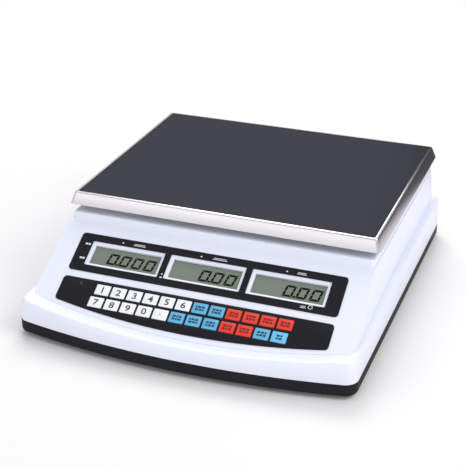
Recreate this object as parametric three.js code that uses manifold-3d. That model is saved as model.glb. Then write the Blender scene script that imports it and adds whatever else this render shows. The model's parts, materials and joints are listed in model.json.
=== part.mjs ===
// A table-top counting scale: a low two-part plastic body with a sloping control panel,
// a stainless steel platter carried by one load cell, and four screw-in feet.
// Millimetres. X to the right seen from the front, Y to the back, Z up.
// The origin is on the table, under the middle of the object.

import * as THREE from 'three';
import { mergeVertices } from 'three/addons/utils/BufferGeometryUtils.js';
import Module from 'manifold-3d';

const wasm = await Module();
wasm.setup();

// ---------------------------------------------------------------- driving dimensions

const GAP = 0.3; // left between two pieces that touch
const FILM_GAP = 0.1; // left under a bonded film or sheet
const WALL = 3; // moulded wall thickness
const OVERCUT = 1; // how far a cutting tool runs past the face it opens
const BOARD = 1.6; // printed circuit board thickness

// Plan of the body: straight sides and back, a front that bows outward.
const BODY = { halfWidth: 183, frontY: -211, backY: 209, bowRadius: 882, frontRadius: 14, backRadius: 16 };
const TRAY = { bottom: 5, top: 18, floor: 3 };

// The rim of the housing: low in the middle of the front, higher at the corners and the back.
const RIM = { front: 31.2, cornerRise: 10.2, backRise: 12, riseStart: -187, riseLength: 190, step: 0.8 };

// The raised part of the housing, which carries the control panel.
const DECK = {
  halfWidthLow: 177.5, halfWidthHigh: 170.3, low: 19, high: 98, lean: 5,
  frontInset: 22.5, backY: 203, topZ: 89.9, frontRadius: 10, backRadius: 12,
};
const TUB = { halfWidth: 170.6, frontY: -85, backY: 198, corner: 6, topZ: 97.5, draft: 1.5, round: 2 };

// Control panel: a flat sloping face. Panel coordinates are u to the right, v up the slope
// from the middle of the keypad film's lower edge, and n out of the face.
const PANEL = { y: -183.5, z: 32, tilt: THREE.MathUtils.degToRad(30.7), wall: 4 };
const FILM = { thickness: 0.6, halfWidth: 148.5, round: 4 };
const DISPLAY_FILM = { v0: 50.8, v1: 98.2 };
const KEY_FILM = { v1: 42.5, arcRadius: 819 };
const WINDOW = { width: 84, height: 30, v: 74.4, pitch: 91, chamfer: 3.6 };
const LCD = { width: 82, height: 28, thickness: 4 };
const KEY = { width: 15.8, height: 12, pitch: 18.2, round: 0.6, proud: 0.3, length: 3.6, clearance: 0.35 };
const KEY_ROWS = [
  { name: 'upper', u: -108, v: 26.5, count: 12 },
  { name: 'lower', u: -110, v: 11.2, count: 12 },
];

// Platter and what carries it.
const PLATTER = {
  width: 340, depth: 270, y: 58, topZ: 118, sheet: 1.5,
  bottomZ: 105.2, flare: 4.4, corner: 3.5, edgeRound: 1.2,
};
const MAT = { inset: 3.6, thickness: 0.4, corner: 2 };
const CELL = { length: 130, width: 30, height: 22, z: 40, holeRadius: 7, holeSpacing: 30, neck: 3 };
const SPACER = { length: 36, width: 30, x: -46 };
const SUPPORT = {
  z: 106, thickness: 5, armX: 120, armY: 85, armWidth: 22, endRadius: 13,
  plateX: 60, plateY: 36, boss: 28, bossX: 46, travelGap: 0.8,
};
const PAD_RADIUS = 9;
const BOSS_OPENING = 40;

// Feet, screws and what is inside.
const FOOT = {
  x: 146, frontY: -160, backY: 172, radius: 14, height: 9, studRadius: 4, studTop: 26, socket: 5,
  ribs: 20, ribDepth: 0.7, clearance: 1.5, bossRadius: 19,
};
const SCREW = {
  x: 158, frontY: -118, backY: 130, headRadius: 3.6, headHeight: 2.2, shankRadius: 1.9, sink: 0.6, top: 30,
  trayBossRadius: 6, housingBossRadius: 5,
};
const BOSS_TOP = TRAY.top - 2; // bosses in the tray stop below the housing
const BATTERY = { length: 101, width: 70, height: 47, x: -90, y: 112 };
const DOOR = { length: 106, width: 75 };
const MAIN_BOARD = { width: 150, depth: 80, x: 85, y: -60, z: 22 };
const DISPLAY_BOARD = { side: 6, halfHeight: 22 }; // side: how far it reaches past the outer displays
const KEY_BOARD = { side: 8, below: 3, above: 4 }; // how far it reaches past the keys' opening
const REAR_FACE = BODY.backY + GAP;
const INLET = {
  x: 120, z: 33, width: 27, height: 20, depth: 22, bezelX: 32, bezelZ: 25, bezel: 2,
  cavityX: 24, cavityZ: 16, cavityDepth: 15,
};
const INLET_PINS = { places: [[-7, -1], [7, -1], [0, 4]], width: 2, height: 4, setBack: 3 };
const SWITCH = {
  x: 76, z: 33, width: 19, height: 13, depth: 18, bezelX: 21.5, bezelZ: 15.5, bezel: 2,
  cavityX: 16.4, cavityZ: 11, cavityDepth: 9,
};
const ROCKER = {
  face: 1.1, root: -4, rootRise: 1.6, clearance: 0.5, sink: 0.6, tilt: THREE.MathUtils.degToRad(8),
};

// ---------------------------------------------------------------- finishes

const finish = (color, roughness, metalness = 0) =>
  new THREE.MeshStandardMaterial({ color, roughness, metalness });
const WHITE_ABS = finish(0xf1f2f8, 0.42);
const BLACK_ABS = finish(0x26252b, 0.5);
const BLACK_FILM = finish(0x222229, 0.35);
const STEEL = finish(0xc9c8cb, 0.28, 1);
const DARK_SHEET = finish(0x34343c, 0.4);
const ALUMINIUM = finish(0xb4b6b8, 0.45, 1);
const RUBBER = finish(0x1d1d1f, 0.85);
const ZINC = finish(0xa7a9ac, 0.4, 1);
const BOARD_GREEN = finish(0x1f6b3f, 0.5);
const LCD_GLASS = finish(0x8f9588, 0.25);
const KEY_WHITE = finish(0xf4f5fa, 0.4);
const KEY_BLUE = finish(0x5fb0d8, 0.4);
const KEY_RED = finish(0xe03a22, 0.4);
const BATTERY_GREY = finish(0x4a4c52, 0.55);

// ---------------------------------------------------------------- geometry helpers

// Points of an arc about (cx, cy), from angle a0 to a1, both ends included.
function arc(cx, cy, radius, a0, a1, steps) {
  return Array.from({ length: steps + 1 }, (_, i) => {
    const a = a0 + ((a1 - a0) * i) / steps;
    return [cx + radius * Math.cos(a), cy + radius * Math.sin(a)];
  });
}

// Counter-clockwise outline with straight sides and back, a bowed front and rounded corners.
function bowedOutline(size, cornerSteps = 6, bowSteps = 24, sideSteps = 1) {
  const { halfWidth, frontY, backY, bowRadius, frontRadius, backRadius } = size;
  const centreY = frontY + bowRadius;
  const cornerX = halfWidth - frontRadius;
  const reach = bowRadius - frontRadius;
  const cornerY = centreY - Math.sqrt(reach ** 2 - cornerX ** 2);
  const bowEnd = Math.atan2(cornerY - centreY, cornerX);
  const backX = halfWidth - backRadius;
  const sideStep = (backY - backRadius - cornerY) / sideSteps;
  const side = Array.from({ length: sideSteps - 1 }, (_, i) => [halfWidth, cornerY + (i + 1) * sideStep]);
  return [
    ...arc(0, centreY, bowRadius, -Math.PI - bowEnd, bowEnd, bowSteps).slice(1),
    ...arc(cornerX, cornerY, frontRadius, bowEnd, 0, cornerSteps).slice(1),
    ...side,
    ...arc(backX, backY - backRadius, backRadius, 0, Math.PI / 2, cornerSteps),
    ...arc(-backX, backY - backRadius, backRadius, Math.PI / 2, Math.PI, cornerSteps),
    ...side.map(([x, y]) => [-x, y]).reverse(),
    ...arc(-cornerX, cornerY, frontRadius, -Math.PI, -Math.PI - bowEnd, cornerSteps),
  ];
}

// The body's outline moved inward.
function bodyOutline(inset) {
  const radius = (r) => Math.max(r - inset, 1);
  return bowedOutline({
    halfWidth: BODY.halfWidth - inset,
    frontY: BODY.frontY + inset,
    backY: BODY.backY - inset,
    bowRadius: BODY.bowRadius - inset,
    frontRadius: radius(BODY.frontRadius),
    backRadius: radius(BODY.backRadius),
  }, 6, 24, 10);
}

// Counter-clockwise rounded rectangle.
function roundedRectangle(x0, y0, x1, y1, radius, steps = 4) {
  return [
    ...arc(x0 + radius, y0 + radius, radius, Math.PI, 1.5 * Math.PI, steps),
    ...arc(x1 - radius, y0 + radius, radius, 1.5 * Math.PI, 2 * Math.PI, steps),
    ...arc(x1 - radius, y1 - radius, radius, 0, 0.5 * Math.PI, steps),
    ...arc(x0 + radius, y1 - radius, radius, 0.5 * Math.PI, Math.PI, steps),
  ];
}

const atHeight = (outline, z) => outline.map(([x, y]) => [x, y, typeof z === 'function' ? z(x, y) : z]);

// A closed skin through rings of equally many points, capped at its first and last ring.
function loft(rings) {
  const count = rings[0].length;
  const index = [];
  for (let r = 0; r + 1 < rings.length; r += 1) {
    for (let i = 0; i < count; i += 1) {
      const j = (i + 1) % count;
      const [a, b, c, d] = [r * count + i, r * count + j, (r + 1) * count + j, (r + 1) * count + i];
      index.push(a, b, c, a, c, d);
    }
  }
  const cap = (ring) => THREE.ShapeUtils.triangulateShape(ring.map(([x, y]) => new THREE.Vector2(x, y)), []);
  const last = (rings.length - 1) * count;
  for (const [a, b, c] of cap(rings[0])) index.push(a, c, b);
  for (const [a, b, c] of cap(rings.at(-1))) index.push(last + a, last + b, last + c);
  const geometry = new THREE.BufferGeometry();
  geometry.setAttribute('position', new THREE.Float32BufferAttribute(rings.flat(2), 3));
  geometry.setIndex(index);
  return geometry;
}

const shapeOf = (points) => new THREE.Shape(points.map(([x, y]) => new THREE.Vector2(x, y)));

// A flat plate of an outline, with holes, from z0 up to z1.
function plate(outline, z0, z1, holes = []) {
  const shape = shapeOf(outline);
  shape.holes = holes.map((points) => new THREE.Path(points.map(([x, y]) => new THREE.Vector2(x, y))));
  return new THREE.ExtrudeGeometry(shape, { depth: z1 - z0, bevelEnabled: false }).translate(0, 0, z0);
}

// A prism whose side view (y, z) is the same all the way from -halfWidth to halfWidth.
function sidePrism(profile, halfWidth) {
  const geometry = new THREE.ExtrudeGeometry(shapeOf(profile), { depth: 2 * halfWidth, bevelEnabled: false });
  geometry.translate(0, 0, -halfWidth);
  const [x, y, z] = [new THREE.Vector3(1, 0, 0), new THREE.Vector3(0, 1, 0), new THREE.Vector3(0, 0, 1)];
  const turn = new THREE.Matrix4().makeBasis(y, z, x);
  return geometry.applyMatrix4(turn);
}

const box = (x0, y0, z0, x1, y1, z1) =>
  new THREE.BoxGeometry(x1 - x0, y1 - y0, z1 - z0).translate((x0 + x1) / 2, (y0 + y1) / 2, (z0 + z1) / 2);

const cylinder = (x, y, radius, z0, z1, segments = 24) =>
  new THREE.CylinderGeometry(radius, radius, z1 - z0, segments)
    .rotateX(Math.PI / 2)
    .translate(x, y, (z0 + z1) / 2);

// A solid for joining and cutting.
function solid(geometry) {
  const bare = geometry.clone();
  bare.deleteAttribute('normal');
  bare.deleteAttribute('uv');
  const merged = mergeVertices(bare, 1e-4);
  return new wasm.Manifold(new wasm.Mesh({
    numProp: 3,
    vertProperties: new Float32Array(merged.attributes.position.array),
    triVerts: new Uint32Array(merged.index.array),
  }));
}

function geometryOf(manifold) {
  const mesh = manifold.getMesh();
  const geometry = new THREE.BufferGeometry();
  geometry.setAttribute('position', new THREE.BufferAttribute(new Float32Array(mesh.vertProperties), 3));
  geometry.setIndex(new THREE.BufferAttribute(new Uint32Array(mesh.triVerts), 1));
  return geometry;
}

const joined = (geometries) => geometries.map(solid).reduce((all, next) => all.add(next));
const cut = (body, geometries) => geometries.map(solid).reduce((left, tool) => left.subtract(tool), body);

const scale = new THREE.Group();
const panel = new THREE.Group();
panel.position.set(0, PANEL.y, PANEL.z);
panel.rotation.x = PANEL.tilt;
panel.updateMatrix();
scale.add(panel);

function addPiece(name, geometry, material, group = scale) {
  const mesh = new THREE.Mesh(geometry, material);
  mesh.name = name;
  group.add(mesh);
  return mesh;
}

const onPanel = (geometry) => geometry.applyMatrix4(panel.matrix);
const corners = (x, y0, y1) => [
  ['front_left', -x, y0], ['front_right', x, y0], ['rear_left', -x, y1], ['rear_right', x, y1],
];
const feet = corners(FOOT.x, FOOT.frontY, FOOT.backY);
const screws = corners(SCREW.x, SCREW.frontY, SCREW.backY);

// A block centred on (x, y), between two heights.
const block = (x, y, lengthX, lengthY, z0, z1) =>
  box(x - lengthX / 2, y - lengthY / 2, z0, x + lengthX / 2, y + lengthY / 2, z1);

// ---------------------------------------------------------------- base tray

function baseTray() {
  const { bottom, top, floor } = TRAY;
  const shell = loft([
    atHeight(bodyOutline(0.8), bottom),
    atHeight(bodyOutline(0), bottom + 1.5),
    atHeight(bodyOutline(0), top - GAP / 2),
  ]);
  const wallLine = bodyOutline(WALL);
  const inside = loft([atHeight(wallLine, bottom + floor), atHeight(wallLine, top + OVERCUT)]);
  const footBosses = feet.map(([, x, y]) => solid(cylinder(x, y, FOOT.bossRadius, bottom, BOSS_TOP, 32)));
  const screwBosses = screws.map(([, x, y]) => solid(cylinder(x, y, SCREW.trayBossRadius, bottom, BOSS_TOP)));
  const bosses = [...footBosses, ...screwBosses];
  const body = bosses.reduce((all, boss) => all.add(boss), cut(solid(shell), [inside]));
  const throughHole = (x, y, radius) => cylinder(x, y, radius + GAP, bottom - OVERCUT, top + OVERCUT);
  const footHoles = feet.flatMap(([, x, y]) => [
    cylinder(x, y, FOOT.radius + FOOT.clearance, bottom - OVERCUT, FOOT.height + GAP, 32),
    throughHole(x, y, FOOT.studRadius),
  ]);
  const screwHoles = screws.flatMap(([, x, y]) => [
    cylinder(x, y, SCREW.headRadius + GAP, bottom - OVERCUT, bottom + SCREW.sink + SCREW.headHeight + GAP),
    throughHole(x, y, SCREW.shankRadius),
  ]);
  const doorway = block(
    BATTERY.x, BATTERY.y, DOOR.length + 2 * GAP, DOOR.width + 2 * GAP,
    bottom - OVERCUT, bottom + floor + OVERCUT);
  return cut(body, [...footHoles, ...screwHoles, doorway]);
}

// ---------------------------------------------------------------- top housing

const rise = (t) => {
  const s = Math.min(Math.max(t, 0), 1);
  return s * s * (3 - 2 * s);
};

const panelZ = (y, depth = 0) =>
  PANEL.z + (y - PANEL.y) * Math.tan(PANEL.tilt) - depth / Math.cos(PANEL.tilt);

const rimHeight = (x, y) =>
  RIM.front + RIM.cornerRise * (x / BODY.halfWidth) ** 2
  + RIM.backRise * rise((y - RIM.riseStart) / RIM.riseLength);

// Lower skirt of the housing: drafted walls that round over into the rim.
function skirt(wall) {
  const rounding = [[1.2, 7], [2, 3.4], [3.6, 1.1], [6, 0]];
  const underPanel = (x, y, step) => Math.min(rimHeight(x, y), panelZ(y) - step) - wall;
  const rings = [atHeight(bodyOutline(wall), wall ? TRAY.top - OVERCUT : TRAY.top + GAP / 2)];
  for (const [inset, drop] of rounding) {
    rings.push(atHeight(bodyOutline(inset + wall), (x, y) => rimHeight(x, y) - drop - wall));
  }
  rings.push(atHeight(bodyOutline(DECK.frontInset - 1 + wall), (x, y) => underPanel(x, y, RIM.step)));
  rings.push(atHeight(bodyOutline(DECK.frontInset + 4 + wall), (x, y) => underPanel(x, y, 5)));
  return solid(loft(rings));
}

// Raised part of the housing, cut off by the sloping panel plane.
function deck(wall, panelWall) {
  const ring = (halfWidth, z, lean) => atHeight(bowedOutline({
    halfWidth: halfWidth - wall,
    frontY: BODY.frontY + DECK.frontInset + wall,
    backY: DECK.backY - wall - lean,
    bowRadius: BODY.bowRadius - DECK.frontInset - wall,
    frontRadius: DECK.frontRadius,
    backRadius: DECK.backRadius,
  }), z);
  const low = wall ? TRAY.top - OVERCUT : DECK.low;
  const walls = solid(loft([
    ring(DECK.halfWidthLow, low, 0), ring(DECK.halfWidthHigh, DECK.high, DECK.lean),
  ]));
  const top = DECK.topZ - wall;
  const slopeTop = PANEL.y + (top - panelZ(PANEL.y, panelWall)) / Math.tan(PANEL.tilt);
  const floor = 10; // anywhere below the walls
  const slopeFoot = PANEL.y + (floor - panelZ(PANEL.y, panelWall)) / Math.tan(PANEL.tilt);
  const sideView = [[slopeFoot, floor], [BODY.backY, floor], [BODY.backY, top], [slopeTop, top]];
  return walls.intersect(solid(sidePrism(sideView, BODY.halfWidth)));
}

// Flat-topped step under the platter.
function tub(wall) {
  const ring = (inset, z) => atHeight(
    roundedRectangle(
      -TUB.halfWidth + inset, TUB.frontY + inset, TUB.halfWidth - inset, TUB.backY - inset, TUB.corner), z);
  return solid(loft([
    ring(wall, DECK.topZ - 8),
    ring(wall + TUB.draft, TUB.topZ - TUB.round - wall),
    ring(wall + TUB.draft + 0.6 * TUB.round, TUB.topZ - 0.4 * TUB.round - wall),
    ring(wall + TUB.draft + 1.6 * TUB.round, TUB.topZ - wall),
  ]));
}

function windowCutter(centreU) {
  const rectangle = (inset, n) => [
    [centreU - WINDOW.width / 2 + inset, WINDOW.v - WINDOW.height / 2 + inset, n],
    [centreU + WINDOW.width / 2 - inset, WINDOW.v - WINDOW.height / 2 + inset, n],
    [centreU + WINDOW.width / 2 - inset, WINDOW.v + WINDOW.height / 2 - inset, n],
    [centreU - WINDOW.width / 2 + inset, WINDOW.v + WINDOW.height / 2 - inset, n],
  ];
  return onPanel(loft([
    rectangle(WINDOW.chamfer, -PANEL.wall - OVERCUT), rectangle(WINDOW.chamfer, -PANEL.wall + 0.4),
    rectangle(0, 0), rectangle(0, OVERCUT),
  ]));
}

const keyPitchSpan = (row) => (row.count - 1) * KEY.pitch + KEY.width;
const keyField = {
  u0: Math.min(...KEY_ROWS.map((row) => row.u)) - 2,
  u1: Math.max(...KEY_ROWS.map((row) => row.u + keyPitchSpan(row))) + 2,
  v0: Math.min(...KEY_ROWS.map((row) => row.v)) - 2,
  v1: Math.max(...KEY_ROWS.map((row) => row.v)) + KEY.height + 2,
};
const windowCentres = [-WINDOW.pitch, 0, WINDOW.pitch];

function topHousing() {
  let body = skirt(0).add(deck(0, 0)).add(tub(0));
  body = body.subtract(skirt(WALL)).subtract(deck(WALL, PANEL.wall)).subtract(tub(WALL));
  for (const [place, x, y] of screws) {
    const top = place.startsWith('front') ? panelZ(y) - WALL : TUB.topZ - 1;
    body = body.add(solid(cylinder(x, y, SCREW.housingBossRadius, TRAY.top + GAP / 2, top)));
  }
  const screwHoles = screws.map(([, x, y]) =>
    cylinder(x, y, SCREW.shankRadius + GAP, TRAY.top - OVERCUT, SCREW.top + 2));
  const keyWell = onPanel(box(
    keyField.u0, keyField.v0, -PANEL.wall - OVERCUT, keyField.u1, keyField.v1, OVERCUT));
  const bossHole = block(
    SUPPORT.bossX, PLATTER.y, BOSS_OPENING, BOSS_OPENING, TUB.topZ - WALL - OVERCUT, TUB.topZ + OVERCUT);
  const rearHoles = [INLET, SWITCH].map(({ x, z, width, height }) => box(
    x - width / 2 - GAP, BODY.backY - 12, z - height / 2 - GAP,
    x + width / 2 + GAP, BODY.backY + OVERCUT, z + height / 2 + GAP));
  return cut(body, [...screwHoles, ...windowCentres.map(windowCutter), keyWell, bossHole, ...rearHoles]);
}

addPiece('base_tray', geometryOf(baseTray()), BLACK_ABS);
addPiece('top_housing', geometryOf(topHousing()), WHITE_ABS);

// ---------------------------------------------------------------- platter and its support

function platterOutline(grow, corner) {
  const { width, depth, y } = PLATTER;
  const halfX = width / 2 + grow;
  const halfY = depth / 2 + grow;
  return roundedRectangle(-halfX, y - halfY, halfX, y + halfY, corner, 5);
}

function platter() {
  const { topZ, sheet, bottomZ, flare, corner, edgeRound } = PLATTER;
  return loft([
    atHeight(platterOutline(-sheet, corner - sheet), topZ - sheet),
    atHeight(platterOutline(flare - sheet, corner), bottomZ),
    atHeight(platterOutline(flare, corner + sheet), bottomZ),
    atHeight(platterOutline(0.1, corner), topZ - edgeRound),
    atHeight(platterOutline(-0.3 * edgeRound, corner - 0.3 * edgeRound), topZ - 0.3 * edgeRound),
    atHeight(platterOutline(-edgeRound, corner - edgeRound), topZ),
  ]);
}

addPiece('platter', platter(), STEEL);
const matZ = PLATTER.topZ + FILM_GAP;
const matOutline = platterOutline(-MAT.inset, MAT.corner);
addPiece('platter_mat', plate(matOutline, matZ, matZ + MAT.thickness), DARK_SHEET);

// A cast cross with a square boss that stands on the free end of the load cell.
function platterSupport() {
  const { z, thickness, armX, armY, armWidth, endRadius, plateX, plateY, boss, bossX, travelGap } = SUPPORT;
  const arm = (sign) => new THREE.BoxGeometry(2 * Math.hypot(armX, armY), armWidth, thickness)
    .rotateZ(sign * Math.atan2(armY, armX)).translate(0, PLATTER.y, z + thickness / 2);
  const centre = box(-plateX, PLATTER.y - plateY, z, plateX, PLATTER.y + plateY, z + thickness);
  const post = block(bossX, PLATTER.y, boss, boss, CELL.z + CELL.height + travelGap, z + 1);
  const ends = armEnds.map(([, x, y]) => cylinder(x, y, endRadius, z, z + thickness));
  return joined([arm(1), arm(-1), centre, post, ...ends]);
}

const armEnds = corners(SUPPORT.armX, PLATTER.y - SUPPORT.armY, PLATTER.y + SUPPORT.armY);
addPiece('platter_support', geometryOf(platterSupport()), ALUMINIUM);

const [padBottom, padTop] = [SUPPORT.z + SUPPORT.thickness + GAP, PLATTER.topZ - PLATTER.sheet - GAP];
for (const [place, x, y] of armEnds) {
  addPiece(`platter_pad_${place}`, cylinder(x, y, PAD_RADIUS, padBottom, padTop), RUBBER);
}

// Aluminium beam with two joined round openings that let its middle bend.
function loadCell() {
  const { length, height, width, z, holeRadius, holeSpacing, neck } = CELL;
  const outline = roundedRectangle(-length / 2, z, length / 2, z + height, 1, 1);
  const middle = z + height / 2;
  const meet = Math.asin(neck / holeRadius);
  const hole = [
    ...arc(-holeSpacing / 2, middle, holeRadius, meet, 2 * Math.PI - meet, 14),
    ...arc(holeSpacing / 2, middle, holeRadius, Math.PI + meet, 3 * Math.PI - meet, 14),
  ];
  return plate(outline, -width / 2, width / 2, [hole]).rotateX(Math.PI / 2).translate(0, PLATTER.y, 0);
}

const trayFloor = TRAY.bottom + TRAY.floor + GAP;
addPiece('load_cell', loadCell(), ALUMINIUM);
addPiece('cell_spacer', block(
  SPACER.x, PLATTER.y, SPACER.length, SPACER.width, trayFloor, CELL.z - GAP), ALUMINIUM);

// ---------------------------------------------------------------- feet and housing screws

function footPad(x, y) {
  const edge = Array.from({ length: 2 * FOOT.ribs }, (_, i) => {
    const radius = FOOT.radius - (i % 2) * FOOT.ribDepth;
    const a = (Math.PI * i) / FOOT.ribs;
    return [x + radius * Math.cos(a), y + radius * Math.sin(a)];
  });
  const socket = cylinder(x, y, FOOT.studRadius + GAP, FOOT.height - FOOT.socket, FOOT.height + OVERCUT);
  return cut(solid(plate(edge, 0, FOOT.height)), [socket]);
}

for (const [place, x, y] of feet) {
  const stud = cylinder(x, y, FOOT.studRadius, FOOT.height - FOOT.socket + GAP, FOOT.studTop);
  addPiece(`foot_pad_${place}`, geometryOf(footPad(x, y)), RUBBER);
  addPiece(`foot_stud_${place}`, stud, ZINC);
}

for (const [place, x, y] of screws) {
  const { sink, headRadius, headHeight, shankRadius, top } = SCREW;
  const head = TRAY.bottom + sink;
  addPiece(`housing_screw_${place}`, geometryOf(joined([
    cylinder(x, y, headRadius, head, head + headHeight),
    cylinder(x, y, shankRadius, head + headHeight / 2, top, 12),
  ])), ZINC);
}

// ---------------------------------------------------------------- battery, door and main board

addPiece('battery', block(
  BATTERY.x, BATTERY.y, BATTERY.length, BATTERY.width, trayFloor, trayFloor + BATTERY.height), BATTERY_GREY);
addPiece('battery_door', block(
  BATTERY.x, BATTERY.y, DOOR.length, DOOR.width, TRAY.bottom, TRAY.bottom + TRAY.floor), BLACK_ABS);
addPiece('main_board', block(
  MAIN_BOARD.x, MAIN_BOARD.y, MAIN_BOARD.width, MAIN_BOARD.depth,
  MAIN_BOARD.z, MAIN_BOARD.z + BOARD), BOARD_GREEN);

// ---------------------------------------------------------------- displays

const underPanel = -PANEL.wall - GAP;
const lcdBottom = underPanel - LCD.thickness;
['weight', 'unit_price', 'total'].forEach((name, i) => {
  const glass = block(windowCentres[i], WINDOW.v, LCD.width, LCD.height, lcdBottom, underPanel);
  addPiece(`lcd_${name}`, glass, LCD_GLASS, panel);
});
addPiece('display_board', block(
  0, WINDOW.v, 2 * (WINDOW.pitch + DISPLAY_BOARD.side) + LCD.width, 2 * DISPLAY_BOARD.halfHeight,
  lcdBottom - GAP - BOARD, lcdBottom - GAP), BOARD_GREEN, panel);

const windowHole = (u) => roundedRectangle(
  u - WINDOW.width / 2, WINDOW.v - WINDOW.height / 2,
  u + WINDOW.width / 2, WINDOW.v + WINDOW.height / 2, 0.8, 2);
addPiece('display_overlay', plate(
  roundedRectangle(-FILM.halfWidth, DISPLAY_FILM.v0, FILM.halfWidth, DISPLAY_FILM.v1, FILM.round),
  FILM_GAP, FILM_GAP + FILM.thickness, windowCentres.map(windowHole)), BLACK_FILM, panel);

// ---------------------------------------------------------------- keypad

// Film outline: a straight top edge and a lower edge that follows the bow of the body.
function keyFilmOutline() {
  return bowedOutline({
    halfWidth: FILM.halfWidth, frontY: 0, backY: KEY_FILM.v1, bowRadius: KEY_FILM.arcRadius,
    frontRadius: FILM.round, backRadius: FILM.round,
  }, 4, 20);
}

const keyPlaces = KEY_ROWS.flatMap((row) => Array.from({ length: row.count }, (_, i) => ({
  name: `key_${row.name}_${i + 1}`, row: row.name, index: i, u: row.u + i * KEY.pitch, v: row.v,
})));

const keyOutline = ({ u, v }, grow) => roundedRectangle(
  u - grow, v - grow, u + KEY.width + grow, v + KEY.height + grow, KEY.round + grow, 2);

const keyHoles = keyPlaces.map((key) => keyOutline(key, KEY.clearance));
addPiece('keypad_overlay', plate(
  keyFilmOutline(), FILM_GAP, FILM_GAP + FILM.thickness, keyHoles), BLACK_FILM, panel);

// White keys carry the digits; blue and red ones are function keys.
function keyColour({ row, index }) {
  if (row === 'upper') return [KEY_WHITE, KEY_BLUE, KEY_RED][index < 6 ? 0 : index < 8 ? 1 : 2];
  if (index < 5) return KEY_WHITE;
  return index === 8 || index === 9 ? KEY_RED : KEY_BLUE;
}

const keyTop = FILM_GAP + FILM.thickness + KEY.proud;
for (const key of keyPlaces) {
  addPiece(key.name, plate(keyOutline(key, 0), keyTop - KEY.length, keyTop), keyColour(key), panel);
}

addPiece('keypad_board', box(
  keyField.u0 - KEY_BOARD.side, keyField.v0 - KEY_BOARD.below, underPanel - BOARD,
  keyField.u1 + KEY_BOARD.side, keyField.v1 + KEY_BOARD.above, underPanel), BOARD_GREEN, panel);

// ---------------------------------------------------------------- rear inlet and power switch

// A snap-in block with a flange outside the rear wall and a hollow that opens to the back.
function rearFitting({ x, z, width, height, depth, bezelX, bezelZ, bezel, cavityX, cavityZ, cavityDepth }) {
  const front = REAR_FACE + bezel - GAP;
  const bodyBlock = joined([
    box(x - width / 2, REAR_FACE - depth, z - height / 2, x + width / 2, REAR_FACE + 1, z + height / 2),
    box(x - bezelX / 2, REAR_FACE, z - bezelZ / 2, x + bezelX / 2, front, z + bezelZ / 2),
  ]);
  return cut(bodyBlock, [box(
    x - cavityX / 2, front - cavityDepth, z - cavityZ / 2,
    x + cavityX / 2, front + OVERCUT, z + cavityZ / 2)]);
}

function inlet() {
  const { x, z, bezel, cavityDepth } = INLET;
  const { places, width, height, setBack } = INLET_PINS;
  const root = REAR_FACE + bezel - GAP - cavityDepth - 1;
  const pins = places.map(([dx, dz]) => solid(box(
    x + dx - width / 2, root, z + dz - height / 2,
    x + dx + width / 2, REAR_FACE - setBack, z + dz + height / 2)));
  return pins.reduce((all, pin) => all.add(pin), rearFitting(INLET));
}

// The rocker's face is two shallow slopes that meet in the middle; it rests tilted to one side.
function rocker() {
  const { face, root, rootRise, clearance } = ROCKER;
  const half = SWITCH.cavityX / 2 - clearance;
  const depth = SWITCH.cavityZ - 2 * clearance;
  const topView = [
    [-half, root + rootRise], [0, root], [half, root + rootRise],
    [half, face], [0, 0], [-half, face],
  ];
  return new THREE.ExtrudeGeometry(shapeOf(topView), { depth, bevelEnabled: false })
    .translate(0, 0, -depth / 2);
}

addPiece('power_inlet', geometryOf(inlet()), BLACK_ABS);
addPiece('switch_body', geometryOf(rearFitting(SWITCH)), BLACK_ABS);
const rockerPiece = addPiece('power_rocker', rocker(), BLACK_ABS);
rockerPiece.position.set(SWITCH.x, REAR_FACE - ROCKER.sink, SWITCH.z);
rockerPiece.rotation.z = ROCKER.tilt;

export default scale;
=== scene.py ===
# %% [markdown]
# # A counting scale
# A low table-top scale: a black base tray, a white moulded housing with a sloping panel, three displays,
# two rows of keys, and a steel platter that lifts off. The engineering model gives every part's place and
# size. This notebook gives the parts their finish, and rebuilds the ones whose edges and curves deserve
# more than a solid model has.

# %% Load the frame
import json
import math

import bmesh
import bpy
from mathutils import Matrix, Vector


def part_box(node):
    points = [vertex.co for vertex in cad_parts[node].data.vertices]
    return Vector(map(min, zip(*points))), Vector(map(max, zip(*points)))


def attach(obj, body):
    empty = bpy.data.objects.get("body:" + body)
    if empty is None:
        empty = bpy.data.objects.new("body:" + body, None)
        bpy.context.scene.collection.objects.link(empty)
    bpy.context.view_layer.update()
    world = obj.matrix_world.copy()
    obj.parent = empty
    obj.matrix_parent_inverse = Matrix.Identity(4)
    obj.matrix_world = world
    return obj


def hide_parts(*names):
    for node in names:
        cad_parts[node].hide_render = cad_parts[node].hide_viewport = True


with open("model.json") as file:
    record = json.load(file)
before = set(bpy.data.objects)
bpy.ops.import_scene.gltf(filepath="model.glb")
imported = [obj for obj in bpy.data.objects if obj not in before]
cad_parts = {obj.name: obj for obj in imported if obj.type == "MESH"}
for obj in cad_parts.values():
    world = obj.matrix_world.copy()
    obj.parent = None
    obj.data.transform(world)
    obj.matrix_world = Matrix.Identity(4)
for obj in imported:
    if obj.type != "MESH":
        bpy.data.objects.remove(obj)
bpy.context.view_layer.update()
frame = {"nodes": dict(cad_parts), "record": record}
nodes = frame["nodes"]
MM = 0.001
print("CAD nodes:", len(nodes))

# %% [markdown]
# ## Camera
# A camera well above the table, a little to the right, with a long lens: the picture has little
# perspective. The colours are shown as they are, without a film curve, so that white plastic stays white.

# %% Camera
scene = bpy.context.scene
scene.view_settings.view_transform = "Standard"

lens = bpy.data.cameras.new("camera")
lens.sensor_width = 36.0
lens.lens = 89.72
lens.clip_end = 30.0
camera = bpy.data.objects.new("camera", lens)
camera.location = (0.3982, -1.1069, 0.6330)
camera.rotation_euler = [math.radians(a) for a in (64.075, -0.125, 20.454)]
scene.collection.objects.link(camera)
scene.camera = camera
print("camera at", tuple(camera.location))

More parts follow.
